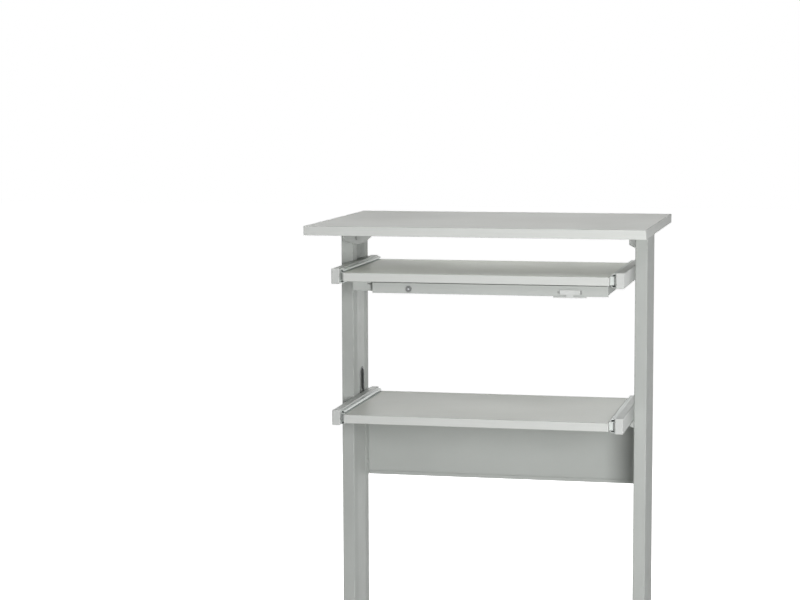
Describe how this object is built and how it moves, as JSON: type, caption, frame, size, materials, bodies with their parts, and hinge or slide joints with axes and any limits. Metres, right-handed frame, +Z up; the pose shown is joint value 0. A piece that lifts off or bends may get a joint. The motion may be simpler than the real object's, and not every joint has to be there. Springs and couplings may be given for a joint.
{
  "type": "standing computer workstation",
  "caption": "Standing computer workstation: worktop on two channelled uprights, pull-out keyboard shelf with a flat lockable drawer, and a pull-out lower shelf with a back panel.",
  "frame": {"origin": "on the floor, below the middle of the worktop", "axes": "+X to the user's right, the front with the drawer faces -Y, +Z up"},
  "size_m": [0.8, 0.6, 1.18],
  "materials": {
    "laminate_board": "light grey laminate, fine matt structure",
    "board_edging": "light grey edging, satin",
    "painted_frame": "light grey powder coat, fine texture",
    "channel_cover": "light grey powder coat, fine texture",
    "zinc_plated_steel": "bright zinc plating",
    "bearing_steel": "polished",
    "grey_plastic": "light grey moulded plastic",
    "dark_plastic": "dark grey moulded plastic",
    "plated_fasteners": "zinc plated",
    "lock_chrome": "polished",
    "lock_dark": "dark nickel"
  },
  "bodies": {
    "frame": {"worktop": "laminate_board", "worktop_edging": "board_edging", "upright_left": "painted_frame", "upright_right": "painted_frame", "cover_upper_left": "channel_cover", "cover_upper_right": "channel_cover", "cover_lower_left": "channel_cover", "cover_lower_right": "channel_cover", "bracket_left": "painted_frame", "bracket_right": "painted_frame", "bracket_bolts": "plated_fasteners", "bracket_screws": "plated_fasteners", "arm_upper_left": "painted_frame", "arm_upper_right": "painted_frame", "arm_lower_left": "painted_frame", "arm_lower_right": "painted_frame", "arm_caps_front": "grey_plastic", "arm_caps_rear": "grey_plastic", "arm_bolts": "plated_fasteners", "slide_outer_upper_left": "zinc_plated_steel", "slide_outer_upper_right": "zinc_plated_steel", "slide_outer_lower_left": "zinc_plated_steel", "slide_outer_lower_right": "zinc_plated_steel", "slide_outer_screws": "zinc_plated_steel", "back_panel": "painted_frame", "panel_bolts": "plated_fasteners", "foot_left": "painted_frame", "foot_right": "painted_frame", "foot_caps": "dark_plastic", "tie_bar": "painted_frame", "tie_bolts": "plated_fasteners"},
    "keyboard_shelf_body": {"keyboard_shelf": "laminate_board", "keyboard_shelf_edging": "board_edging", "slide_inner_upper_left": "zinc_plated_steel", "slide_inner_upper_right": "zinc_plated_steel", "slide_inner_upper_screws": "zinc_plated_steel", "drawer_guide_left": "painted_frame", "drawer_guide_right": "painted_frame", "guide_caps": "grey_plastic", "guide_screws": "plated_fasteners", "lock_strike": "plated_fasteners"},
    "upper_ball_cages": {"ball_cage_upper": "zinc_plated_steel", "slide_balls_upper": "bearing_steel"},
    "lower_shelf_body": {"lower_shelf": "laminate_board", "lower_shelf_edging": "board_edging", "slide_inner_lower_left": "zinc_plated_steel", "slide_inner_lower_right": "zinc_plated_steel", "slide_inner_lower_screws": "zinc_plated_steel"},
    "lower_ball_cages": {"ball_cage_lower": "zinc_plated_steel", "slide_balls_lower": "bearing_steel"},
    "drawer": {"drawer_tray": "painted_frame", "drawer_front": "painted_frame", "drawer_pull": "grey_plastic", "lock_housing": "lock_dark"},
    "lock_cylinder": {"lock_plug": "lock_chrome", "lock_cam": "plated_fasteners"},
    "front_left_glide": {"glide_front_left": "dark_plastic"},
    "front_right_glide": {"glide_front_right": "dark_plastic"},
    "rear_left_glide": {"glide_rear_left": "dark_plastic"},
    "rear_right_glide": {"glide_rear_right": "dark_plastic"}
  },
  "joints": [
    {"name": "keyboard_shelf_slide", "type": "slide", "parent": "frame", "child": "keyboard_shelf_body", "axis": [0, -1, 0], "range_m": [0, 0.28]},
    {"name": "upper_cage_slide", "type": "slide", "parent": "frame", "child": "upper_ball_cages", "axis": [0, -1, 0], "range_m": [0, 0.14]},
    {"name": "lower_shelf_slide", "type": "slide", "parent": "frame", "child": "lower_shelf_body", "axis": [0, -1, 0], "range_m": [0, 0.28]},
    {"name": "lower_cage_slide", "type": "slide", "parent": "frame", "child": "lower_ball_cages", "axis": [0, -1, 0], "range_m": [0, 0.14]},
    {"name": "drawer_slide", "type": "slide", "parent": "keyboard_shelf_body", "child": "drawer", "axis": [0, -1, 0], "range_m": [0, 0.25]},
    {"name": "lock_turn", "type": "hinge", "parent": "drawer", "child": "lock_cylinder", "pos_m": [-0.158, -0.2395, 1.0325], "axis": [0, -1, 0], "range_deg": [0, 90]},
    {"name": "front_left_glide_screw", "type": "slide", "parent": "frame", "child": "front_left_glide", "axis": [0, 0, -1], "range_m": [0, 0.012]},
    {"name": "front_right_glide_screw", "type": "slide", "parent": "frame", "child": "front_right_glide", "axis": [0, 0, -1], "range_m": [0, 0.012]},
    {"name": "rear_left_glide_screw", "type": "slide", "parent": "frame", "child": "rear_left_glide", "axis": [0, 0, -1], "range_m": [0, 0.012]},
    {"name": "rear_right_glide_screw", "type": "slide", "parent": "frame", "child": "rear_right_glide", "axis": [0, 0, -1], "range_m": [0, 0.012]}
  ],
  "couplings": [
    {"joint": "upper_cage_slide", "follows": "keyboard_shelf_slide", "ratio": 0.5},
    {"joint": "lower_cage_slide", "follows": "lower_shelf_slide", "ratio": 0.5}
  ]
}
